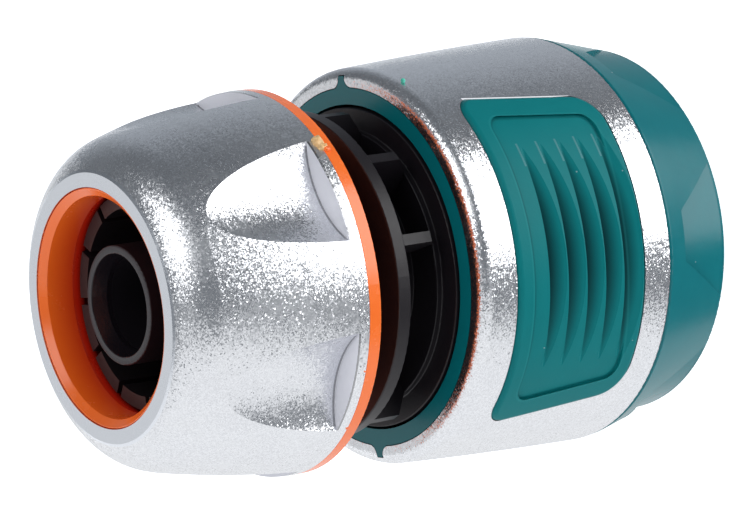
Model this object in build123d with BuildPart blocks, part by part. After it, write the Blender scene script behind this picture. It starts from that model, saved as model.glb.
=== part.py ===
from build123d import *
from math import cos, radians, sin
import os

# Garden hose quick connector for a 13 mm hose, standing on its socket end.
# The origin is the centre of the socket's end face, and +Z points to the mouth that takes the hose.
# All lengths are in millimetres and all angles in degrees. The radii are built up outwards from the
# bores, piece by piece, and the levels upwards from the claws, so each size is written once.

os.makedirs("parts", exist_ok=True)

# Clearances
running_gap = 0.1
free_gap = 0.3
seam_gap = 0.1
end_float = 0.2

# Small radii of the mouldings
moulding_radius = 0.12
nut_radius = 0.08
edge_radius = 0.25
end_chamfer = 0.3

# Socket for the plug
seal_bore_r = 6.8
seal_bore_length = 11.5
socket_step = 1.4
socket_shoulder = 0.9
tube_wall = 2.4
stop_height = 1.2
stop_width = 1.2

# Claws
claw_count = 4
claw_first_angle = 45.0
claw_width = 4.6
claw_length = 4.2
claw_rear = 7.4
claw_reach = 1.1
claw_ramp = 1.5
claw_ramp_run_out = 0.3
claw_head_overhang = 0.9
claw_head_half_angle = 18.0
claw_head_thin_end = 0.7
claw_head_overlap = 0.4

# End ring
end_ring_thickness = 2.0
end_spigot_step = 0.8

# Sleeve
sleeve_travel = 5.0
collar_length = 9.4
collar_taper = 2.2
collar_rim = 2.3
shell_taper = 1.25
shell_wall = 1.9
shell_bulge = 0.12
shell_nose_radius = 1.3
front_ring_width = 1.7
chamber_width = 1.88
web_thickness = 2.0
guide_clearance = 0.9
guide_length = 1.6
cam_wall = 0.75
cam_slope = 0.24

# Keys between the sleeve's core and its shell
key_depth = 3.0
key_base = 1.25
key_neck = 0.72
key_tip = 0.45
key_neck_height = 0.35
key_root = 0.4
key_tip_wall = 0.75

# Recesses of the rear collar
recess_count = 6
recess_front = 2.5
recess_rear = 0.4
recess_front_angle = 7.1
recess_rear_angle = 20.6
recess_depth = 1.05
recess_run_out = 0.02

# Grip pads
pad_front = 4.25
pad_rear = 3.5
pad_front_angle = 52.3
pad_rear_angle = 44.6
pad_front_corner = 1.8
pad_rear_corner = 3.0
pad_arc = 62.0
pad_proud = 0.35
pad_edge_radius = 0.6
pad_border = 1.8
panel_depth = 0.3
panel_corner = 1.5
groove_count = 5
groove_pitch = 2.35
groove_first = 2.7
groove_depth = 1.15
groove_reach = 34.0
groove_width = 1.95
groove_undercut = 0.25
groove_lead = 0.2
groove_floor_radius = 0.25

# Spring
spring_length = 16.8
spring_wire = 1.2
spring_turns = 6
spring_gap = 2.0

# Discs and ribs between the sleeve and the nut
disc_thickness = 1.5
disc_overhang = 0.25
guard_proud = 0.25
rib_length = 5.8
rib_thickness = 1.1
rib_slope = 2.3
rib_reach = 2.25
rib_root = 1.0
rib_angles = (12.2, 44.3, 76.4, 116.0)
boss_ring_height = 0.7

# Hose spigot
waterway_r = 4.7
waterway_taper = 3.0
spigot_wall = 1.3
spigot_recess = 2.32
spigot_flare = 0.5
flare_length = 1.5
stem_step = 0.35
barb_count = 3
barb_pitch = 3.2
barb_start = 2.6
barb_height = 0.55
barb_land = 0.32

# Threaded boss of the body
recess_floor = 1.6
boss_wall = 1.4
thread_length = 7.4

# Clamping basket
hose_space = 3.7
basket_wall = 1.6
basket_ring_length = 2.4
finger_count = 12
finger_gap = 0.75
finger_setback = 4.45
finger_wall = 1.45
finger_cone_gap = 0.45
finger_bulge_setback = 0.4

# Nut
nut_gap = 4.21
nut_length = 20.04
flange_thickness = 1.4
thread_depth = 0.7
nut_wall = 1.9
hose_entry = 5.0
lip_wall = 0.95
lip_bevel = 0.7
lip_bevel_width = 0.13
lip_length = 3.68
lip_root = 2.76
lip_root_step = 1.0
cone_step = 0.2
cone_growth = 1.8
cone_length = 7.97
cone_run_out = 0.5
shoulder_step = 0.8
face_width = 1.45
nose_width = 3.36
nose_length = 3.6
nose_bulge = 0.55
side_bulge = 0.43
scallop_count = 6
scallop_radius = 10.0
scallop_wall = 1.4
scallop_depth = 2.7
scallop_shelf = 1.19

# Levels, from the claws up to the mouth
claw_front_z = claw_rear + claw_length
head_rear_z = claw_rear - claw_head_overhang
head_front_z = claw_front_z + claw_head_overhang
socket_depth = claw_front_z + socket_shoulder
guide_z = head_front_z + guide_clearance
guide_front_z = guide_z + guide_length
stop_z = guide_front_z + sleeve_travel + end_float
chamber_z = end_ring_thickness + web_thickness
guard_rear_z = guide_front_z + spring_length
guard_z = guard_rear_z + disc_thickness
sleeve_length = guard_z - guard_proud
disc_rear_z = guard_z + rib_length
disc_z = disc_rear_z + disc_thickness
recess_z = disc_z + recess_floor
thread_z = disc_z + thread_length
nut_travel = nut_gap - end_float
nut_rear_z = disc_z + nut_gap
flange_z = nut_rear_z + flange_thickness
mouth_z = nut_rear_z + nut_length
shoulder_z = mouth_z - nose_length
lip_root_z = mouth_z - lip_root
cone_front_z = mouth_z - lip_length
cone_rear_z = cone_front_z - cone_length
tip_z = mouth_z - spigot_recess
barb_z = recess_z + barb_start
land_z = barb_z + barb_count * barb_pitch

# Radii of the socket and of the sleeve, from the seal's bore outwards
socket_bore_r = seal_bore_r + socket_step
tube_r = socket_bore_r + tube_wall
head_inner_r = tube_r + free_gap
cam_front_r = head_inner_r + claw_head_thin_end + free_gap - cam_slope * guide_clearance
cam_rear_r = cam_front_r + cam_slope * (guide_z - end_ring_thickness)
ring_bore_r = cam_rear_r + cam_wall + chamber_width
core_front_r = ring_bore_r + front_ring_width
shell_front_r = core_front_r + seam_gap + shell_wall
collar_front_r = shell_front_r + shell_taper
core_rear_r = collar_front_r - shell_wall - seam_gap
collar_rear_r = collar_front_r - collar_taper
end_bore_r = collar_rear_r - collar_rim
guard_r = ring_bore_r - free_gap
disc_front_r = guard_r + disc_overhang
boss_ring_r = guard_r - rib_reach

# Radii of the spigot, the basket, the boss and the nut, from the waterway outwards
spigot_r = waterway_r + spigot_wall
stem_r = spigot_r - stem_step
basket_bore_r = spigot_r + hose_space
basket_r = basket_bore_r + basket_wall
boss_bore_r = basket_r + free_gap
boss_r = boss_bore_r + boss_wall
nut_bore_r = boss_r + thread_depth
barrel_r = nut_bore_r + nut_wall
scallop_floor_r = barrel_r + seam_gap + scallop_wall
flange_r = scallop_floor_r + scallop_depth
lip_bore_r = spigot_r + hose_entry
lip_r = lip_bore_r + lip_wall
nut_face_r = lip_r + seam_gap + face_width
nut_shoulder_r = nut_face_r + nose_width
cone_front_r = lip_bore_r + cone_step
cone_rear_r = cone_front_r + cone_growth


def shell_radius(z):
    """Outer radius of the sleeve shell at level z, without its slight bulge."""
    share = (z - collar_length) / (sleeve_length - collar_length)
    return collar_front_r - shell_taper * share


def collar_radius(z):
    """Outer radius of the sleeve's rear collar at level z."""
    return collar_rear_r + collar_taper * z / collar_length


def cam_radius(z):
    """Radius of the cam at level z."""
    return cam_front_r + cam_slope * (guide_z - z)


with BuildPart() as connector_body:
    # The body is one moulding, turned about the axis before its windows and ribs are made.
    with BuildSketch(Plane.XZ):
        with BuildLine():
            FilletPolyline(
                (socket_bore_r, 0),
                (tube_r - end_spigot_step, 0),
                (tube_r - end_spigot_step, end_ring_thickness),
                (tube_r, end_ring_thickness),
                (tube_r, stop_z),
                (tube_r + stop_height, stop_z),
                (tube_r + stop_height, stop_z + stop_width),
                (tube_r, stop_z + stop_width),
                (tube_r, guard_rear_z),
                (guard_r, guard_rear_z),
                (guard_r, guard_z),
                (boss_ring_r, guard_z),
                (boss_ring_r, guard_z + boss_ring_height),
                (tube_r, guard_z + boss_ring_height),
                (tube_r, disc_rear_z),
                (disc_front_r, disc_rear_z),
                (disc_front_r, disc_z),
                (boss_r, disc_z),
                (boss_r, thread_z),
                (boss_bore_r, thread_z),
                (boss_bore_r, recess_z),
                (stem_r, recess_z),
                (stem_r, land_z),
                (spigot_r, land_z),
                (spigot_r, tip_z),
                (waterway_r + spigot_flare, tip_z),
                (waterway_r, tip_z - flare_length),
                (waterway_r, socket_depth + seal_bore_length + waterway_taper),
                (seal_bore_r, socket_depth + seal_bore_length),
                (seal_bore_r, socket_depth),
                (socket_bore_r, socket_depth),
                radius=moulding_radius,
                close=True,
            )
        make_face()
    revolve(axis=Axis.Z)
    # Barbs round the stem, steep towards the body, below the smooth land at the spigot's tip
    with BuildSketch(Plane.XZ):
        with BuildLine():
            for barb in range(barb_count):
                steep_z = barb_z + barb * barb_pitch
                Polyline(
                    (waterway_r + spigot_flare, steep_z),
                    (spigot_r + barb_height, steep_z),
                    (stem_r, steep_z + barb_pitch - barb_land),
                    (waterway_r + spigot_flare, steep_z + barb_pitch - barb_land),
                    close=True,
                )
        make_face()
    revolve(axis=Axis.Z)
    # Ribs between the two discs, with outer ends that slope in to the boss ring
    with BuildSketch(Plane.XZ) as rib_profile:
        with BuildLine():
            Polyline(
                (tube_r - rib_root, guard_z),
                (boss_ring_r, guard_z),
                (boss_ring_r, guard_z + boss_ring_height),
                (guard_r, guard_z + rib_slope),
                (guard_r, disc_rear_z),
                (tube_r - rib_root, disc_rear_z),
                close=True,
            )
        make_face()
    rib = extrude(rib_profile.sketch, amount=rib_thickness / 2, both=True, mode=Mode.PRIVATE)
    for rib_angle in rib_angles:
        with PolarLocations(0, 2, start_angle=rib_angle):
            add(rib)
    # Windows for the claws
    with PolarLocations(tube_r - tube_wall / 2, claw_count, start_angle=claw_first_angle):
        with Locations((0, 0, claw_rear + claw_length / 2)):
            Box(
                3 * tube_wall,
                claw_width + 2 * end_float,
                claw_length + 2 * end_float,
                mode=Mode.SUBTRACT,
            )
connector_body.part.label = "connector_body"


with BuildPart() as end_ring:
    # Retaining ring, snapped on the end of the tube: the sleeve's stop and the face the part stands on
    with BuildSketch():
        Circle(end_bore_r - free_gap)
        Circle(tube_r - end_spigot_step + seam_gap, mode=Mode.SUBTRACT)
    extrude(amount=end_ring_thickness)
    chamfer(end_ring.faces().sort_by(Axis.Z)[0].outer_wire().edges(), length=end_chamfer)
end_ring.part.label = "end_ring"


with BuildPart() as recess_cutter:
    # One recess of the rear collar: a trapezoid seen from the side, with a floor that runs out at the rim
    recess_front_z = collar_length - recess_front
    recess_front_r = collar_radius(recess_front_z)
    front_half = recess_front_r * sin(radians(recess_front_angle))
    rear_half = collar_radius(recess_rear) * sin(radians(recess_rear_angle))
    with BuildSketch(Plane.YZ):
        Polygon(
            (-rear_half, recess_rear),
            (rear_half, recess_rear),
            (front_half, recess_front_z),
            (-front_half, recess_front_z),
            align=None,
        )
    extrude(amount=2 * collar_front_r)
    with BuildSketch(Plane.XZ):
        Polygon(
            (collar_radius(recess_rear) - recess_run_out, recess_rear),
            (2 * collar_front_r, recess_rear),
            (2 * collar_front_r, recess_front_z),
            (recess_front_r - recess_depth, recess_front_z),
            align=None,
        )
    revolve(axis=Axis.Z, mode=Mode.INTERSECT)


with BuildPart() as sleeve_core:
    # One moulding: rear collar, outer wall, cam and guide for the claws, and the ring at the front
    with BuildSketch(Plane.XZ) as core_section:
        with BuildLine():
            Polyline(
                (end_bore_r, 0),
                (collar_rear_r, 0),
                (collar_front_r, collar_length),
                (core_rear_r, collar_length),
                (core_front_r, sleeve_length),
                (ring_bore_r, sleeve_length),
                (ring_bore_r, chamber_z),
                (cam_rear_r + cam_wall, chamber_z),
                (cam_rear_r + cam_wall, guide_front_z),
                (tube_r + running_gap, guide_front_z),
                (tube_r + running_gap, guide_z),
                (cam_front_r, guide_z),
                (cam_rear_r, end_ring_thickness),
                (end_bore_r, end_ring_thickness),
                close=True,
            )
        make_face()
        fillet(core_section.vertices().sort_by(Axis.X)[-1], radius=edge_radius)
        fillet(core_section.vertices().group_by(Axis.Y)[0].sort_by(Axis.X)[-1], radius=edge_radius)
    revolve(axis=Axis.Z)
    with PolarLocations(0, recess_count):
        add(recess_cutter.part, mode=Mode.SUBTRACT)
    # Two keys that lock the silver shell against turning
    with BuildSketch(Plane.XY.offset(sleeve_length - key_depth)) as key_outline:
        with BuildLine():
            Line((-key_base, core_front_r - key_root), (key_base, core_front_r - key_root))
            Line((key_base, core_front_r - key_root), (key_base, core_front_r))
            ThreePointArc(
                (key_base, core_front_r),
                (key_neck, core_front_r + key_neck_height),
                (key_tip, shell_front_r - key_tip_wall),
            )
            Line((key_tip, shell_front_r - key_tip_wall), (-key_tip, shell_front_r - key_tip_wall))
            ThreePointArc(
                (-key_tip, shell_front_r - key_tip_wall),
                (-key_neck, core_front_r + key_neck_height),
                (-key_base, core_front_r),
            )
            Line((-key_base, core_front_r), (-key_base, core_front_r - key_root))
        make_face()
    key = extrude(key_outline.sketch, amount=key_depth, mode=Mode.PRIVATE)
    with PolarLocations(0, 2):
        add(key)
sleeve_core.part.label = "sleeve_core"


def pad_outline(inset, front_corner, rear_corner):
    """Rounded trapezoid of a grip pad, seen along X, moved inwards by inset."""
    rear_z = collar_length + pad_rear
    front_z = sleeve_length - pad_front
    rear_half = shell_radius(rear_z) * sin(radians(pad_rear_angle))
    front_half = shell_radius(front_z) * sin(radians(pad_front_angle))
    with BuildSketch(Plane.YZ) as outline:
        Polygon(
            (-rear_half, rear_z),
            (rear_half, rear_z),
            (front_half, front_z),
            (-front_half, front_z),
            align=None,
        )
        if inset:
            offset(amount=-inset, kind=Kind.INTERSECTION)
        fillet(outline.vertices().group_by(Axis.Y)[-1], radius=front_corner)
        fillet(outline.vertices().group_by(Axis.Y)[0], radius=rear_corner)
    return outline.sketch


def pad_section(inner, outer):
    """Section of a band round the sleeve, from inner to outer above the shell's straight cone."""
    rear_z = collar_length + pad_rear / 2
    front_z = sleeve_length - pad_front / 2
    with BuildSketch(Plane.XZ.rotated((0, 0, -pad_arc))) as section:
        with BuildLine():
            SagittaArc(
                (shell_radius(front_z) + outer, front_z),
                (shell_radius(rear_z) + outer, rear_z),
                shell_bulge,
            )
            Line((shell_radius(rear_z) + outer, rear_z), (shell_radius(rear_z) + inner, rear_z))
            SagittaArc(
                (shell_radius(rear_z) + inner, rear_z),
                (shell_radius(front_z) + inner, front_z),
                -shell_bulge,
            )
            Line((shell_radius(front_z) + inner, front_z), (shell_radius(front_z) + outer, front_z))
        make_face()
    return section.sketch


with BuildPart() as sleeve_shell:
    # Metallised shell pushed over the core, with two windows for the grip pads
    with BuildSketch(Plane.XZ) as shell_section:
        with BuildLine():
            SagittaArc((shell_front_r, sleeve_length), (collar_front_r, collar_length), shell_bulge)
            Polyline(
                (collar_front_r, collar_length),
                (core_rear_r + seam_gap, collar_length),
                (core_front_r + seam_gap, sleeve_length),
                (shell_front_r, sleeve_length),
            )
        make_face()
        fillet(shell_section.vertices().group_by(Axis.Y)[-1].sort_by(Axis.X)[-1], radius=shell_nose_radius)
        fillet(shell_section.vertices().group_by(Axis.Y)[0].sort_by(Axis.X)[-1], radius=edge_radius)
    revolve(axis=Axis.Z)
    window = pad_outline(-seam_gap, pad_front_corner + seam_gap, pad_rear_corner + seam_gap)
    extrude(window, amount=2 * collar_front_r, both=True, mode=Mode.SUBTRACT)
    notch = offset(key_outline.sketch, amount=seam_gap, mode=Mode.PRIVATE)
    slot = extrude(notch, amount=key_depth, mode=Mode.PRIVATE)
    with PolarLocations(0, 2):
        add(slot, mode=Mode.SUBTRACT)
sleeve_shell.part.label = "sleeve_shell"


with BuildPart() as grip_pad_right:
    # Soft pad in the window of the shell, a little proud of it
    revolve(pad_section(-shell_wall, pad_proud), axis=Axis.Z, revolution_arc=2 * pad_arc)
    extrude(
        pad_outline(0, pad_front_corner, pad_rear_corner),
        amount=2 * collar_front_r,
        mode=Mode.INTERSECT,
    )
    fillet(grip_pad_right.faces().sort_by(Axis.X)[-1].outer_wire().edges(), radius=pad_edge_radius)
    # Shallow panel inside a plain border
    band = revolve(
        pad_section(pad_proud - panel_depth, 2 * pad_proud),
        axis=Axis.Z,
        revolution_arc=2 * pad_arc,
        mode=Mode.PRIVATE,
    )
    panel = extrude(
        pad_outline(pad_border, panel_corner, panel_corner),
        amount=2 * collar_front_r,
        mode=Mode.PRIVATE,
    )
    add(band & panel, mode=Mode.SUBTRACT)
    # Grooves cut by discs with their centre beyond the axis, so each is deepest in the middle
    # and runs out to a point at both ends. The wall on the mouth side is the steep one.
    for groove in range(groove_count):
        groove_z = collar_length + pad_rear + groove_first + groove * groove_pitch
        surface_r = shell_radius(groove_z) + pad_proud + shell_bulge - panel_depth
        floor_r = surface_r - groove_depth
        centre = (surface_r**2 - floor_r**2) / (2 * (floor_r - surface_r * cos(radians(groove_reach))))
        with BuildSketch(Plane.XZ.rotated((0, 0, -groove_reach))) as groove_section:
            Polygon(
                (centre + floor_r, groove_z - groove_undercut),
                (centre + surface_r + groove_depth, groove_z + groove_lead),
                (centre + surface_r + groove_depth, groove_z - 2 * groove_width),
                align=None,
            )
            fillet(groove_section.vertices().sort_by(Axis.X)[0], radius=groove_floor_radius)
        cutter = revolve(
            groove_section.sketch, axis=Axis.Z, revolution_arc=2 * groove_reach, mode=Mode.PRIVATE
        )
        with Locations((-centre, 0, 0)):
            add(cutter, mode=Mode.SUBTRACT)
grip_pad_right.part.label = "grip_pad_right"

with BuildPart() as grip_pad_left:
    add(grip_pad_right.part, rotation=(0, 0, 180))
grip_pad_left.part.label = "grip_pad_left"


with BuildPart() as sleeve_spring:
    # Wound spring between the sleeve's guide and the rear disc
    coil_r = tube_r + spring_gap + spring_wire / 2
    coil_start = guide_front_z + spring_wire / 2
    coil_height = spring_length - spring_wire
    with BuildLine():
        coil = Helix(
            pitch=coil_height / spring_turns,
            height=coil_height,
            radius=coil_r,
            center=(0, 0, coil_start),
        )
    with BuildSketch(Plane(origin=coil @ 0, z_dir=coil % 0)):
        Circle(spring_wire / 2)
    sweep(path=coil, is_frenet=True)
sleeve_spring.part.label = "sleeve_spring"


with BuildPart() as claw:
    # A claw lies on +X: the shank stands in the tube's window, and its head bears on the cam
    tip_r = socket_bore_r - claw_reach
    with BuildSketch(Plane.XZ.rotated((0, 0, -claw_head_half_angle))):
        Polygon(
            (head_inner_r, head_rear_z),
            (cam_radius(head_rear_z) - free_gap, head_rear_z),
            (cam_radius(head_front_z) - free_gap, head_front_z),
            (head_inner_r, head_front_z),
            align=None,
        )
    revolve(axis=Axis.Z, revolution_arc=2 * claw_head_half_angle)
    with BuildSketch(Plane.XZ) as shank:
        Polygon(
            (head_inner_r + claw_head_overlap, claw_rear),
            (tip_r + claw_ramp, claw_rear),
            (tip_r - claw_ramp_run_out, claw_rear + claw_ramp),
            (tip_r - claw_ramp_run_out, claw_front_z),
            (head_inner_r + claw_head_overlap, claw_front_z),
            align=None,
        )
    extrude(shank.sketch, amount=claw_width / 2, both=True)
    Cylinder(radius=tip_r, height=2 * sleeve_length, mode=Mode.SUBTRACT)

for number in range(claw_count):
    with BuildPart() as locking_claw:
        add(claw.part, rotation=(0, 0, claw_first_angle + number * 360 / claw_count))
    locking_claw.part.label = f"locking_claw_{number + 1}"
    export_step(locking_claw.part, f"parts/locking_claw_{number + 1}.step")


with BuildPart() as nut_core:
    # Threaded core of the nut, with a grip flange, a closing cone and the lip round the mouth
    with BuildSketch(Plane.XZ):
        with BuildLine():
            FilletPolyline(
                (nut_bore_r, nut_rear_z),
                (flange_r, nut_rear_z),
                (flange_r, flange_z),
                (barrel_r, flange_z),
                (barrel_r, cone_rear_z + shoulder_step),
                (lip_r + lip_root_step, lip_root_z),
                (lip_r, lip_root_z),
                (lip_r, mouth_z),
                (lip_bore_r + lip_bevel_width, mouth_z - lip_bevel),
                (lip_bore_r, cone_front_z),
                (cone_front_r, cone_front_z),
                (cone_rear_r, cone_rear_z),
                (nut_bore_r, cone_rear_z - cone_run_out),
                radius=nut_radius,
                close=True,
            )
        make_face()
    revolve(axis=Axis.Z)
nut_core.part.label = "nut_core"


with BuildPart() as nut_shell:
    # Metallised shell of the nut: domed outside, parallel to the core inside, with six finger scallops
    with BuildSketch(Plane.XZ):
        with BuildLine():
            SagittaArc((nut_face_r, mouth_z), (nut_shoulder_r, shoulder_z), nose_bulge)
            SagittaArc((nut_shoulder_r, shoulder_z), (flange_r, flange_z), side_bulge)
            Polyline(
                (flange_r, flange_z),
                (barrel_r + seam_gap, flange_z),
                (barrel_r + seam_gap, cone_rear_z + shoulder_step + seam_gap),
                (lip_r + lip_root_step + seam_gap, lip_root_z + seam_gap),
                (lip_r + seam_gap, lip_root_z + seam_gap),
                (lip_r + seam_gap, mouth_z),
                (nut_face_r, mouth_z),
            )
        make_face()
    revolve(axis=Axis.Z)
    with BuildSketch(Plane.XY.offset(flange_z + scallop_shelf)):
        with PolarLocations(scallop_floor_r + scallop_radius, scallop_count, start_angle=180 / scallop_count):
            Circle(scallop_radius)
    extrude(amount=nut_length, mode=Mode.SUBTRACT)
nut_shell.part.label = "nut_shell"


with BuildPart() as clamping_basket:
    # Collet round the hose spigot: a base ring in the body's recess, and slotted fingers in the nut's cone.
    # The fingers flare only above the boss, also when the nut is screwed down.
    basket_z = nut_rear_z + recess_floor + end_float
    flare_z = thread_z + nut_travel + free_gap
    finger_z = mouth_z - finger_setback
    cone_share = (cone_front_z - finger_z) / cone_length
    finger_front_r = cone_front_r + cone_growth * cone_share - finger_cone_gap
    with BuildSketch(Plane.XZ):
        with BuildLine():
            Polyline(
                (basket_bore_r, basket_z),
                (basket_r, basket_z),
                (basket_r, flare_z),
                (cone_rear_r - finger_cone_gap, cone_rear_z + finger_bulge_setback),
                (finger_front_r, finger_z),
                (finger_front_r - finger_wall, finger_z),
                (basket_bore_r, cone_rear_z + finger_bulge_setback),
                close=True,
            )
        make_face()
    revolve(axis=Axis.Z)
    with PolarLocations(0, finger_count):
        with Locations((basket_r, 0, basket_z + basket_ring_length + nut_length / 2)):
            Box(basket_r, finger_gap, nut_length, mode=Mode.SUBTRACT)
clamping_basket.part.label = "clamping_basket"


export_step(connector_body.part, "parts/connector_body.step")
export_step(end_ring.part, "parts/end_ring.step")
export_step(sleeve_core.part, "parts/sleeve_core.step")
export_step(sleeve_shell.part, "parts/sleeve_shell.step")
export_step(grip_pad_right.part, "parts/grip_pad_right.step")
export_step(grip_pad_left.part, "parts/grip_pad_left.step")
export_step(sleeve_spring.part, "parts/sleeve_spring.step")
export_step(nut_core.part, "parts/nut_core.step")
export_step(nut_shell.part, "parts/nut_shell.step")
export_step(clamping_basket.part, "parts/clamping_basket.step")
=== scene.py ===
import math

import bpy
from mathutils import Matrix, Vector


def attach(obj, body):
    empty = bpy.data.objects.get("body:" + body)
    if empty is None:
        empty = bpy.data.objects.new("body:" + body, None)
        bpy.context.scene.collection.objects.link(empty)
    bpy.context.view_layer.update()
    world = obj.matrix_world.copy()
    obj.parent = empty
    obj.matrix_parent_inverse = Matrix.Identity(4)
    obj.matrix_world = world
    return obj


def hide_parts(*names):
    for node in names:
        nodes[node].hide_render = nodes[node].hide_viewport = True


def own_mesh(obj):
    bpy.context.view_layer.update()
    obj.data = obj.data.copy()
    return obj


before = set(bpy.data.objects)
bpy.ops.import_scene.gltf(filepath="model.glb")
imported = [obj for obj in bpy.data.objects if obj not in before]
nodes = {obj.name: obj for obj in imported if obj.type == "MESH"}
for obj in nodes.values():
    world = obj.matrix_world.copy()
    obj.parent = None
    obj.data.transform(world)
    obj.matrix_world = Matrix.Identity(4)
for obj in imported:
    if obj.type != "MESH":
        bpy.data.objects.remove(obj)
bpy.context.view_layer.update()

# The camera stands 33 cm from the middle of the connector and is rolled, so that the connector
# seems to lie on its side, with its mouth to the lower left and one grip pad towards the viewer.
camera_data = bpy.data.cameras.new("camera")
camera_data.sensor_width = 36.0
camera_data.lens = 153.6
camera = bpy.data.objects.new("camera", camera_data)
bpy.context.scene.collection.objects.link(camera)
camera_place = Vector((0.2722, 0.0255, 0.2238))
camera_right = Vector((0.5811, -0.1020, -0.8074)).normalized()
camera_back = Vector((0.8139, 0.0728, 0.5765)).normalized()
camera_up = camera_back.cross(camera_right).normalized()
camera_right = camera_up.cross(camera_back)
viewer = Matrix((camera_right, camera_up, camera_back)).transposed()
camera.matrix_world = Matrix.Translation(camera_place) @ viewer.to_4x4()
bpy.context.scene.camera = camera
bpy.context.scene.view_settings.view_transform = "Standard"


# The studio is a white table with a white paper backdrop, a big softbox on the right and a smaller
# one on the left in front, in a grey room. Places and directions are given as the viewer sees
# them, right, up and towards the camera, from the middle of the connector.
middle = Vector((0, 0, 0.035))


def soft_lamp(name, place, facing, top, width, height, radiance):
    """A rectangular soft lamp of the given brightness, with its height along top."""
    back_axis = -(viewer @ Vector(facing)).normalized()
    side_axis = (viewer @ Vector(top)).cross(back_axis).normalized()
    data = bpy.data.lights.new(name, "AREA")
    data.shape = "RECTANGLE"
    data.size = width
    data.size_y = height
    data.energy = radiance * math.pi * width * height
    lamp = bpy.data.objects.new(name, data)
    bpy.context.scene.collection.objects.link(lamp)
    axes = Matrix((side_axis, back_axis.cross(side_axis), back_axis)).transposed()
    lamp.matrix_world = Matrix.Translation(middle + viewer @ Vector(place)) @ axes.to_4x4()
    lamp.visible_camera = False


right_box = Vector((0.83, 0.42, 0.27)) * 0.6
soft_lamp("right_box", right_box, -right_box, (0, 1, -0.32), 0.61, 0.48, 3.2)
front_box = Vector((-0.62, 0.34, 0.70)) * 0.7
soft_lamp("front_box", front_box, -front_box, (0, 1, 0), 0.42, 0.45, 2.2)
soft_lamp("table_bounce", (0, -0.5, -0.25), (0, 1, 0), (0, 0, 1), 1.95, 2.7, 0.78)
soft_lamp("backdrop", (0, 0.05, -1.6), (0, 0, 1), (0, 1, 0), 3.0, 1.1, 0.6)
soft_lamp("left_card", (-1.4, -0.25, -0.6), (0.92, 0.1, 0.39), (0, 1, 0), 1.5, 1.0, 0.55)
soft_lamp("left_wall", (-0.28, 0.52, 0.98), (0.22, -0.42, -0.88), (0, 1, 0), 0.7, 0.75, 0.42)
soft_lamp("right_wall", (0.84, -0.12, 0.82), (-0.71, 0.1, -0.7), (0, 1, 0), 0.4, 0.6, 0.18)

# The room is darkest overhead and brightens towards the backdrop. The vector is half as long as a
# direction, so its dot product plus a half runs from 0, away from the backdrop, to 1.
world = bpy.data.worlds.new("room")
bpy.context.scene.world = world
world.use_nodes = True
room = world.node_tree
direction = room.nodes.new("ShaderNodeTexCoord")
towards = room.nodes.new("ShaderNodeVectorMath")
towards.operation = "DOT_PRODUCT"
towards.inputs[1].default_value = viewer @ Vector((0, 0.25, -0.43))
centred = room.nodes.new("ShaderNodeMath")
centred.inputs[1].default_value = 0.5
room_shades = room.nodes.new("ShaderNodeValToRGB")
room_red, room_green = 0.84, 0.91
room_levels = ((0.5, 0.2), (0.7, 0.15), (0.82, 0.18), (0.9, 0.3), (0.95, 0.4), (1.0, 0.5))
for number, (position, level) in enumerate(room_levels):
    if number > 1:
        room_shades.color_ramp.elements.new(position)
    stop = room_shades.color_ramp.elements[number]
    stop.position = position
    stop.color = (room_red * level, room_green * level, level, 1)
room.links.new(direction.outputs["Generated"], towards.inputs[0])
room.links.new(towards.outputs["Value"], centred.inputs[0])
room.links.new(centred.outputs[0], room_shades.inputs["Fac"])
room.links.new(room_shades.outputs["Color"], room.nodes["Background"].inputs["Color"])
room.nodes["Background"].inputs["Strength"].default_value = 1.0


# The floor is a plain white table top. It shines by itself and only the camera sees it, so that
# it runs into the white paper behind it.
bpy.ops.object.select_all(action="DESELECT")
bpy.ops.mesh.primitive_plane_add(size=3.0, location=(0, 0, -0.0001))
floor = bpy.context.object
floor.name = "floor"
floor_finish = bpy.data.materials.new("white_table")
floor_finish.use_nodes = True
floor_shader = floor_finish.node_tree.nodes["Principled BSDF"]
floor_shader.inputs["Base Color"].default_value = (0.85, 0.86, 0.88, 1.0)
floor_shader.inputs["Roughness"].default_value = 0.8
floor_shader.inputs["Emission Color"].default_value = (1.0, 1.0, 1.0, 1.0)
floor_shader.inputs["Emission Strength"].default_value = 1.0
floor.data.materials.append(floor_finish)
floor.visible_glossy = False
floor.visible_shadow = False
floor.visible_diffuse = False


# The body is one black moulding, from the plug's socket to the hose spigot, with a coarse
# right-hand thread for the nut on its boss. Its faces round the spigot that face the mouth carry
# a painted highlight, patchy with noise.
class Value:
    """An output of a node in shader maths: an expression on it adds Math nodes to its material."""

    def __init__(self, finish, socket):
        self.finish = finish
        self.socket = socket

    def maths(self, operation, first, second):
        """Adds a Math node."""
        return self.finish.node("ShaderNodeMath", {"operation": operation}, {0: first, 1: second})

    def __add__(self, other):
        return self.maths("ADD", self, other)

    def __sub__(self, other):
        return self.maths("SUBTRACT", self, other)

    def __rsub__(self, other):
        return self.maths("SUBTRACT", other, self)

    def __mul__(self, other):
        return self.maths("MULTIPLY", self, other)

    def __truediv__(self, other):
        return self.maths("DIVIDE", self, other)

    def __gt__(self, other):
        return self.maths("GREATER_THAN", self, other)

    def __lt__(self, other):
        return self.maths("LESS_THAN", self, other)

    def __abs__(self):
        return self.maths("ABSOLUTE", self, 0)

    def __pow__(self, other):
        return self.maths("POWER", self, other)

    __radd__ = __add__
    __rmul__ = __mul__


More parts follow.
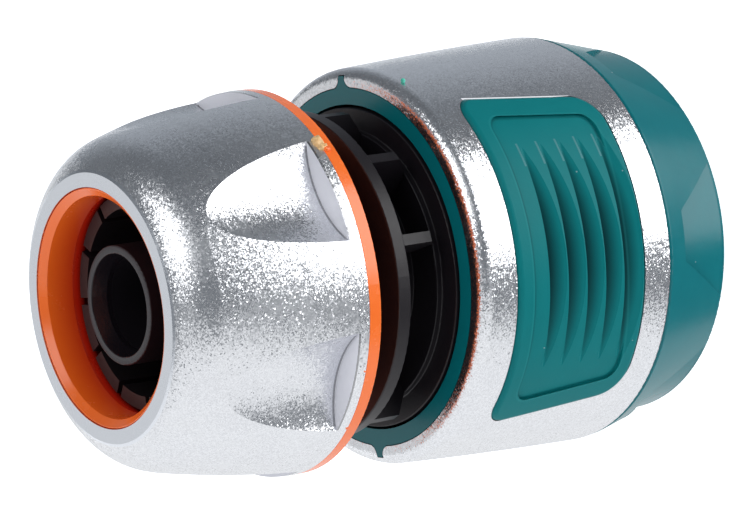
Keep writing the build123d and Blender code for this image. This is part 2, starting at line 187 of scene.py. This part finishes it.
class Finish:
    """A material round one Principled shader. It starts even, and its details are set after."""

    def __init__(self, name, colour, roughness, metallic=0.0):
        self.material = bpy.data.materials.new(name)
        self.material.use_nodes = True
        self.tree = self.material.node_tree
        self.shader = self.tree.nodes["Principled BSDF"]
        self.set("Base Color", (*colour, 1.0))
        self.set("Roughness", roughness)
        self.set("Metallic", metallic)
        self.place = self.node("ShaderNodeTexCoord", output="Object")

    def node(self, kind, settings=None, inputs=None, output=0):
        """Adds a node with its settings and its values or links, and gives the chosen output."""
        made = self.tree.nodes.new(kind)
        for name, value in (settings or {}).items():
            setattr(made, name, value)
        for name, value in (inputs or {}).items():
            if isinstance(value, Value):
                self.tree.links.new(value.socket, made.inputs[name])
            else:
                made.inputs[name].default_value = value
        return Value(self, made.outputs[output])

    def set(self, name, value):
        """Sets or links an input of the shader."""
        if isinstance(value, Value):
            self.tree.links.new(value.socket, self.shader.inputs[name])
        else:
            self.shader.inputs[name].default_value = value

    def vector(self, operation, inputs, output=0):
        """Does maths on whole vectors."""
        return self.node("ShaderNodeVectorMath", {"operation": operation}, inputs, output)

    def axis(self, vector, letter):
        """Takes the X, Y or Z of a vector."""
        return self.node("ShaderNodeSeparateXYZ", None, {0: vector}, letter)

    def place_mm(self):
        """The place on the piece, in millimetres."""
        return self.vector("SCALE", {0: self.place, "Scale": 1000.0})

    def from_axis(self, place):
        """The distance of a place from the connector's axis."""
        level = self.vector("MULTIPLY", {0: place, 1: (1, 1, 0)})
        return self.vector("LENGTH", {0: level}, "Value")

    def facing(self):
        """The direction that the surface faces."""
        return self.node("ShaderNodeNewGeometry", output="Normal")

    def clamp(self, value):
        """Keeps a value between 0 and 1."""
        return self.node("ShaderNodeClamp", None, {0: value})

    def noise(self, grain, detail=2.0, roughness=0.5):
        """Noise whose grains are about the given size in metres, from 0 to 1."""
        inputs = {
            "Vector": self.place,
            "Scale": 1 / grain,
            "Detail": detail,
            "Roughness": roughness,
        }
        return self.node("ShaderNodeTexNoise", None, inputs)

    def specks(self, spacing, share):
        """Dust specks at a spacing in metres, each as wide as the given share of it."""
        inputs = {"Vector": self.place, "Scale": 1 / spacing}
        return self.node("ShaderNodeTexVoronoi", None, inputs, "Distance") < share

    def mix(self, share, first, second):
        """Mixes two colours by a share from 0 to 1."""
        inputs = {"Factor": share, 6: first, 7: second}
        return self.node("ShaderNodeMix", {"data_type": "RGBA"}, inputs, 2)

    def bump(self, height, depth, normal=None):
        """Raises the surface by height, from 0 to 1, times a depth in metres."""
        inputs = {"Height": height, "Distance": depth, "Strength": 1.0}
        if normal:
            inputs["Normal"] = normal
        self.set("Normal", self.node("ShaderNodeBump", {}, inputs))


def dress(names, finish):
    """Gives CAD nodes their material."""
    for name in names:
        node = nodes[name]
        node.data.materials.clear()
        node.data.materials.append(finish.material)


black = Finish("black_plastic", (0.014, 0.012, 0.014), 0.4)
rub_and_sheen = black.noise(0.0011, 3.0, 0.6)
spigot_r = 0.0075
bore_r = 0.0056
bore_flare_z = 0.0605
black_r = black.from_axis(black.place)
faces_mouth = black.axis(black.facing(), "Z") > 0.75
# Painted highlight: the faces round the spigot that face the mouth are lighter, patchy with noise.
painted_rim_highlight = faces_mouth * (black_r < spigot_r) * (0.55 + 0.45 * rub_and_sheen)
flare = (black_r < bore_r) * (black.axis(black.place, "Z") > bore_flare_z)
black.set("Base Color", black.mix(painted_rim_highlight, (0.010, 0.008, 0.011, 1), (0.045, 0.04, 0.045, 1)))
black.set("Roughness", 0.34 + 0.14 * rub_and_sheen - 0.2 * flare)
black.set("Specular IOR Level", 0.38)
black.bump(black.noise(0.0004), 0.000012)
dress(["connector_body"], black)

# The thread's profile is a plane that narrows outwards, and a screw modifier winds it.
boss_r = 0.013
thread_start_z = 0.0416
thread_pitch = 0.004
thread_turns = 1.35
thread_steps = 97
profile_height = 0.00068
profile_middle_r = boss_r + 0.0002
root_width = 0.0019
crest_width = 0.0006
bpy.ops.object.select_all(action="DESELECT")
bpy.ops.mesh.primitive_plane_add(size=1.0)
thread = bpy.context.object
thread.name = "boss_thread"
bpy.ops.object.mode_set(mode="EDIT")
bpy.ops.mesh.select_all(action="SELECT")
bpy.ops.transform.rotate(value=math.pi / 2, orient_axis="X", center_override=(0, 0, 0))
bpy.ops.transform.resize(value=(profile_height, 1, root_width))
bpy.ops.transform.translate(value=(profile_middle_r, 0, thread_start_z))
bpy.ops.object.mode_set(mode="OBJECT")
for corner in thread.data.vertices:
    if corner.co.x > profile_middle_r:
        side = 1 if corner.co.z > thread_start_z else -1
        corner.co.z = thread_start_z + side * crest_width / 2
turns = thread.modifiers.new("turns", "SCREW")
turns.axis = "Z"
turns.angle = math.tau * thread_turns
turns.screw_offset = thread_pitch * thread_turns
turns.steps = turns.render_steps = thread_steps
turns.use_smooth_shade = False
bpy.ops.object.modifier_apply(modifier="turns")
bpy.ops.object.mode_set(mode="EDIT")
bpy.ops.mesh.select_all(action="SELECT")
bpy.ops.mesh.remove_doubles(threshold=0.000001)
bpy.ops.mesh.select_all(action="DESELECT")
bpy.ops.mesh.select_non_manifold()
bpy.ops.mesh.edge_face_add()
bpy.ops.mesh.select_all(action="SELECT")
bpy.ops.mesh.normals_make_consistent(inside=False)
bpy.ops.object.mode_set(mode="OBJECT")
bpy.ops.object.shade_smooth_by_angle(angle=math.radians(30))
thread.data.materials.append(black.material)
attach(thread, "body")


# The end ring, a black moulding, is pressed on the tube behind the sleeve and keeps the sleeve on.
# It is the face that the connector stands on, so it is scuffed.
scuffed = Finish("black_scuffed_plastic", (0.016, 0.014, 0.016), 0.42)
scuffs = scuffed.noise(0.0016, 4.0, 0.65)
scuffed_shade = scuffed.mix(scuffs * scuffs, (0.012, 0.010, 0.012, 1), (0.045, 0.042, 0.045, 1))
scuffed.set("Base Color", scuffed_shade)
scuffed.set("Roughness", 0.3 + 0.25 * scuffs)
scuffed.bump(scuffed.noise(0.0004), 0.000012)
dress(["end_ring"], scuffed)


# The four claws are moulded in natural acetal. They sit in windows of the tube, where the
# sleeve's cam presses them in to grip the plug.
acetal = Finish("white_plastic", (0.78, 0.77, 0.73), 0.4)
cloud = acetal.noise(0.002, 3.0, 0.6)
acetal.set("Base Color", acetal.mix(cloud, (0.74, 0.73, 0.68, 1), (0.82, 0.81, 0.78, 1)))
acetal.set("Roughness", 0.32 + 0.16 * cloud)
acetal.bump(acetal.noise(0.0008), 0.000008)
dress([f"locking_claw_{number}" for number in range(1, 5)], acetal)


# The spring is wound from drawn steel wire, with fine drawing marks. It pushes the sleeve back, and
# is pressed together by 5 mm when the sleeve is pulled forward.
steel = Finish("spring_steel", (0.6, 0.6, 0.58), 0.25, 1.0)
stretched = {"Vector": steel.place, "Scale": (1.0, 1.0, 9.0)}
marks = steel.node("ShaderNodeMapping", None, stretched)
drawn = {"Vector": marks, "Scale": 1400.0, "Detail": 3.0}
drawing = steel.node("ShaderNodeTexNoise", None, drawn)
steel.set("Base Color", steel.mix(drawing, (0.5, 0.5, 0.48, 1), (0.68, 0.68, 0.66, 1)))
steel.set("Roughness", 0.18 + 0.16 * drawing)
steel.bump(drawing, 0.000006)
spring = bpy.data.objects.new("wound_spring", nodes["sleeve_spring"].data.copy())
bpy.context.scene.collection.objects.link(spring)
bpy.ops.object.select_all(action="DESELECT")
spring.select_set(True)
bpy.context.view_layer.objects.active = spring
bpy.ops.object.mode_set(mode="EDIT")
bpy.ops.mesh.select_all(action="SELECT")
bpy.ops.mesh.remove_doubles(threshold=0.000001)
bpy.ops.object.mode_set(mode="OBJECT")
bpy.ops.object.shade_smooth_by_angle(angle=math.radians(40))
dress(["sleeve_spring"], steel)
spring.data.materials.clear()
spring.data.materials.append(steel.material)
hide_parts("sleeve_spring")
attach(spring, "sleeve")
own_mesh(spring)


# The sleeve's core is one moulding in teal plastic, half glossy, from the ring with its two keys
# at the front to the collar at the rear. Some dust lies on it.
teal = Finish("teal_plastic", (0.0045, 0.165, 0.195), 0.2)
wear = teal.noise(0.0024, 4.0, 0.6)
dusty = teal.specks(0.0034, 0.03)
teal_shade = teal.mix(wear, (0.001, 0.160, 0.190, 1), (0.002, 0.184, 0.213, 1))
teal.set("Base Color", teal.mix(dusty * 0.5, teal_shade, (0.35, 0.5, 0.5, 1)))
teal.set("Roughness", 0.19 + 0.09 * wear)
teal.set("Specular IOR Level", 0.38)
teal.bump(teal.noise(0.0009), 0.00001)
dress(["sleeve_core"], teal)


# The shells of the nut and of the sleeve are moulded in plastic and vacuum metallised, with a
# satin texture whose fine grain sparkles wherever a light zone meets a dark one. The sleeve's
# shell is snapped over the core, between the ring at the front and the collar at the rear.
def metallise(name):
    """The satin metallised finish, with its grain's tilt, its normal, its stains and its colour."""
    grain = 0.00012
    finish = Finish(name, (0.82, 0.83, 0.86), 0.25, 1.0)
    in_cells = {"Vector": finish.place, "Scale": 1 / grain}
    cells = finish.node("ShaderNodeTexVoronoi", None, in_cells, "Color")
    tilt = finish.vector("SUBTRACT", {0: cells, 1: (0.5, 0.5, 0.5)})
    stain = finish.noise(0.004, 3.0, 0.6)
    worn = finish.mix(stain, (0.70, 0.71, 0.74, 1), (0.76, 0.77, 0.79, 1))
    bright = finish.mix(stain, (0.84, 0.85, 0.88, 1), (0.92, 0.93, 0.95, 1))
    silver = finish.mix(finish.axis(cells, "X"), worn, bright)
    return finish, tilt, finish.facing(), stain, silver


def sparkle(finish, tilt, surface, strength):
    """Tilts the surface cell by cell, by the given strength, and one cell in twelve much more."""
    far_tilted = finish.axis(tilt, "Y") > 0.42
    strength = strength * (1 + 0.9 * far_tilted)
    tilt = finish.vector("SCALE", {0: tilt, "Scale": strength})
    tilted = finish.vector("NORMALIZE", {0: finish.vector("ADD", {0: surface, 1: tilt})})
    finish.bump(finish.noise(0.0009, 2.0, 0.6), 0.00002, tilted)


sleeve_metal, sleeve_tilt, sleeve_surface, sleeve_stains, sleeve_silver = metallise(
    "sleeve_metallised_plastic"
)
sparkle(sleeve_metal, sleeve_tilt, sleeve_surface, 0.21)
sleeve_metal.set("Base Color", sleeve_silver)
sleeve_metal.set("Roughness", 0.2 + 0.08 * sleeve_stains)
# A painted highlight, emitted, runs along the window's upper edge above the pad.
window_half_width = 14.28
window_spread = 0.0805
window_front, window_rear = 27.6, 15.4
glint_width = 0.14
sleeve_place = sleeve_metal.place_mm()
window_y = sleeve_metal.axis(sleeve_place, "Y")
window_z = sleeve_metal.axis(sleeve_place, "Z")
from_window = window_y - (window_half_width + window_spread * window_z)
on_edge = (from_window > 0.0) * (from_window < glint_width)
glint = on_edge * (window_z > window_rear) * (window_z < window_front)
glint_light = sleeve_metal.mix(glint, (0, 0, 0, 1), (0.75, 0.75, 0.78, 1))
sleeve_metal.set("Emission Color", glint_light)
sleeve_metal.set("Emission Strength", 1.0)
dress(["sleeve_shell"], sleeve_metal)


# The grip pads are moulded in a softer teal with a matte face, and fill the shell's windows. Light
# hardly reaches the deep side of the grooves, which is painted darker as shade, and a painted dark
# line of shade and a painted light line of highlight run round the panel.
pad = Finish("teal_soft_plastic", (0.004, 0.18, 0.195), 0.42)
pad.set("Specular IOR Level", 0.13)
pad_place = pad.place_mm()
pad_y = pad.axis(pad_place, "Y")
pad_z = pad.axis(pad_place, "Z")

# How deep a place lies below the pad's face, which tapers towards the front.
face_r = 22.67
face_taper = 0.0529
depth = face_r - face_taper * pad_z - pad.from_axis(pad_place)
# Painted shade: the deeper a place lies below the face, the darker its colour.
shade_from, shade_over = 0.12, 0.75
in_shade = pad.clamp((depth - shade_from) / shade_over)

# How far a place lies outside the panel, a trapezoid with rounded corners.
panel_half_width = 12.4
panel_middle_z = 20.85
panel_half_length = 6.15
panel_corner_r = 1.5
across = abs(pad_y) - (panel_half_width + window_spread * pad_z)
along = abs(pad_z - panel_middle_z) - panel_half_length
corner_across = across.maths("MAXIMUM", across + panel_corner_r, 0)
corner_along = along.maths("MAXIMUM", along + panel_corner_r, 0)
corner = (corner_across * corner_across + corner_along * corner_along) ** 0.5
straight = across.maths("MINIMUM", across.maths("MAXIMUM", across, along) + panel_corner_r, 0)
from_panel = corner + straight - panel_corner_r
# A painted dark line of shade and a painted light line of highlight run round the panel.
dark_place, dark_half_width = -0.22, 0.2
light_place, light_half_width = 0.12, 0.14
painted_step_shade = pad.clamp(1 - abs(from_panel - dark_place) / dark_half_width)
painted_step_highlight = pad.clamp(1 - abs(from_panel - light_place) / light_half_width)

# A painted highlight, a streak of light, runs along the crests between the grooves near their upper
# ends.
first_crest_z = 15.58
crest_pitch = 2.35
pitches = (pad_z - first_crest_z) / crest_pitch + 0.5
from_crest = crest_pitch * abs(pitches.maths("FLOORED_MODULO", pitches, 1) - 0.5)
streak_low_y, streak_high_y = 9.3, 11.6
streak_half_width = 0.11
last_crest_z = 26.2
upper_end = (pad_y > streak_low_y) * (pad_y < streak_high_y) * (pad_z < last_crest_z)
painted_crest_streak = (from_crest < streak_half_width) * upper_end * (depth > -0.1)

pad_wear = pad.noise(0.0026, 4.0, 0.6)
pad_dust = pad.specks(0.0024, 0.035)
face = pad.mix(pad_wear, (0.001, 0.180, 0.194, 1), (0.002, 0.203, 0.217, 1))
face = pad.mix(in_shade, face, (0.0005, 0.045, 0.052, 1))
face = pad.mix(painted_step_shade * 0.6, face, (0.001, 0.07, 0.078, 1))
face = pad.mix(painted_step_highlight * 0.35, face, (0.02, 0.28, 0.29, 1))
face = pad.mix(painted_crest_streak * 0.35, face, (0.2, 0.36, 0.38, 1))
pad.set("Base Color", pad.mix(pad_dust * 0.6, face, (0.4, 0.55, 0.55, 1)))
pad.set("Roughness", 0.42 + 0.1 * pad_wear)
pad.bump(pad.noise(0.0003), 0.000008)
dress(["grip_pad_right", "grip_pad_left"], pad)


# A tiny flake of teal plastic, broken off a moulding, has stuck to the top of the sleeve's shell.
# It is a rough grain half a millimetre across.
flake_r = 0.00026
bpy.ops.object.select_all(action="DESELECT")
bpy.ops.mesh.primitive_ico_sphere_add(
    subdivisions=2,
    radius=flake_r,
    location=(0.00901, 0.01900, 0.0317),
)
flake = bpy.context.object
flake.name = "teal_flake"
bpy.ops.object.mode_set(mode="EDIT")
bpy.ops.mesh.select_all(action="SELECT")
bpy.ops.transform.vertex_random(offset=0.00006, seed=4)
bpy.ops.object.mode_set(mode="OBJECT")
bpy.ops.object.transform_apply(location=True, rotation=True, scale=True)
mint = Finish("mint_flake", (0.08, 0.6, 0.45), 0.5)
mint.bump(mint.noise(0.0002), 0.00002)
flake.data.materials.append(mint.material)
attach(flake, "sleeve")


# The clamping basket is a slotted black collet round the spigot. The nut's cone closes its
# fingers on the hose. Their front ends, which face the mouth, carry a painted highlight, patchy
# with noise.
basket_black = Finish("black_basket_plastic", (0.018, 0.016, 0.018), 0.36)
basket_rub_and_sheen = basket_black.noise(0.0009, 3.0, 0.6)
# Painted highlight: the faces that face the mouth are lighter, patchy with noise.
painted_tip_highlight = (basket_black.axis(basket_black.facing(), "Z") > 0.5) * (0.5 + 0.5 * basket_rub_and_sheen)
basket_shade = basket_black.mix(painted_tip_highlight, (0.012, 0.010, 0.012, 1), (0.042, 0.042, 0.042, 1))
basket_black.set("Base Color", basket_shade)
basket_black.set("Roughness", 0.3 + 0.14 * basket_rub_and_sheen)
basket_black.bump(basket_black.noise(0.0004), 0.000012)
dress(["clamping_basket"], basket_black)


# The nut's core is moulded in a warm orange plastic, with a soft sheen. An emission paints a glow
# over the whole core, as if light came through the lip. Painted shade makes it a darker red deeper
# inside the mouth, and near black behind the basket's fingers, where no light comes.
lip_inner_r = 13.8
lip_front_z = 64.0
shade_start_z = 60.6
mouth_shade_over, shade_over_z = 3.4, 1.0
orange = Finish("orange_plastic", (0.98, 0.205, 0.022), 0.24)
orange_wear = orange.noise(0.0022, 4.0, 0.6)
orange_place = orange.place_mm()
orange_z = orange.axis(orange_place, "Z")
within_lip = orange.from_axis(orange_place) < lip_inner_r
# Painted shade: a darker red deeper inside the mouth, and near black behind the fingers.
painted_mouth_shade = orange.clamp((lip_front_z - orange_z) / mouth_shade_over) * within_lip
painted_finger_shade = orange.clamp((shade_start_z - orange_z) / shade_over_z) * within_lip
outside = orange.mix(orange_wear, (0.86, 0.165, 0.015, 1), (0.93, 0.195, 0.024, 1))
inside = orange.mix(painted_mouth_shade, outside, (0.40, 0.016, 0.005, 1))
# Painted light: the glow is an emission over the whole core, a little dimmer deep in the mouth.
glow = orange.mix(painted_mouth_shade, (0.15, 0.012, 0.001, 1), (0.13, 0.003, 0.001, 1))
orange.set("Base Color", orange.mix(painted_finger_shade * 0.9, inside, (0.02, 0.002, 0.001, 1)))
orange.set("Roughness", 0.2 + 0.12 * orange_wear)
orange.set("Emission Color", orange.mix(painted_finger_shade, glow, (0.004, 0.0, 0.0, 1)))
orange.set("Emission Strength", 1.0)
orange.set("Coat Weight", 0.4)
orange.set("Coat Roughness", 0.16)
orange.bump(orange.noise(0.0006), 0.000008)
dress(["nut_core"], orange)


# The nut's shell is a metallised dome with six finger scallops, pressed on the core. The end wall
# of each scallop is smooth, because the texture stops there, and painted dark lines of shade run
# along its foot and its outer edge.
nut_metal, nut_tilt, nut_surface, nut_stains, nut_silver = metallise("nut_metallised_plastic")
nut_place = nut_metal.place_mm()
nut_x = nut_metal.axis(nut_place, "X")
nut_y = nut_metal.axis(nut_place, "Y")
nut_z = nut_metal.axis(nut_place, "Z")
nut_r = nut_metal.from_axis(nut_place)
faces_front = nut_metal.axis(nut_surface, "Z") > 0.9
scallop_angle = 60
scallop_half_angle = 16.5
sixths = nut_y.maths("ARCTAN2", nut_y, nut_x) / math.radians(scallop_angle)
beside = scallop_angle * abs(sixths.maths("FLOORED_MODULO", sixths, 1) - 0.5)
wall_rear_z, wall_front_z = 47.2, 47.6
foot_r, foot_z, foot_half_width = 19.35, 47.52, 0.12
edge_r, edge_z, edge_half_width = 19.2, 47.3, 0.13
end_wall = faces_front * (nut_z < wall_front_z) * (nut_z > wall_rear_z)
# Painted shade: dark lines along the foot and the outer edge of each end wall.
foot = (nut_r < foot_r) * (abs(nut_z - foot_z) < foot_half_width)
edge = (nut_r > edge_r) * (abs(nut_z - edge_z) < edge_half_width)
painted_edge_shade = (foot + edge) * (beside < scallop_half_angle) * (1 - end_wall) * 0.6
silver = nut_metal.mix(faces_front * 0.8, nut_silver, (0.80, 0.83, 0.88, 1))
silver = nut_metal.mix(end_wall, silver, (0.93, 0.93, 1.0, 1))
nut_metal.set("Base Color", nut_metal.mix(painted_edge_shade, silver, (0.09, 0.09, 0.1, 1)))
nut_metal.set("Roughness", 0.22 + 0.1 * nut_stains + 0.1 * end_wall)
nut_metal.set("Metallic", 1 - 0.85 * end_wall)
sparkle(nut_metal, nut_tilt, nut_surface, 0.23 - 0.2 * faces_front)
dress(["nut_shell"], nut_metal)


# Small marks of the moulding: a pale nick where the shell meets the flange, and shreds of flash
# along the flange's edge. They are part of the nut.
pale = Finish("pale_orange_plastic", (0.9, 0.5, 0.16), 0.45)
pale_shade = pale.noise(0.0005, 2.0, 0.5)
pale.set("Base Color", pale.mix(pale_shade, (0.86, 0.44, 0.16, 1), (0.95, 0.74, 0.40, 1)))
pale.bump(pale.noise(0.0004), 0.00004)
shreds = (
    ("nick_middle", (0.01372, 0.01400, 0.04628), 0.00080, (0.95, 0.95, 0.85), pale),
    ("nick_lower", (0.01432, 0.01352, 0.04612), 0.00060, (0.85, 0.85, 1.0), pale),
    ("nick_flange", (0.01462, 0.01338, 0.04585), 0.00044, (0.8, 0.8, 1.1), orange),
    ("flash_top", (0.01880, 0.00560, 0.04630), 0.00026, (0.5, 1.6, 0.7), orange),
    ("flash_middle", (0.01782, -0.00825, 0.04628), 0.00024, (0.6, 1.5, 0.8), orange),
    ("flash_low", (0.01362, -0.01413, 0.04628), 0.00024, (1.0, 1.0, 0.8), orange),
)
for seed, (name, place, size, stretch, finish) in enumerate(shreds):
    bpy.ops.object.select_all(action="DESELECT")
    bpy.ops.mesh.primitive_ico_sphere_add(subdivisions=3, radius=size, location=place)
    shred = bpy.context.object
    shred.name = name
    bpy.ops.object.mode_set(mode="EDIT")
    bpy.ops.mesh.select_all(action="SELECT")
    bpy.ops.transform.resize(value=stretch)
    bpy.ops.transform.vertex_random(offset=size * 0.45, seed=seed)
    bpy.ops.mesh.vertices_smooth(factor=0.5)
    bpy.ops.object.mode_set(mode="OBJECT")
    bpy.ops.object.transform_apply(location=True, rotation=True, scale=True)
    bpy.ops.object.shade_smooth()
    shred.data.materials.append(finish.material)
    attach(shred, "nut")
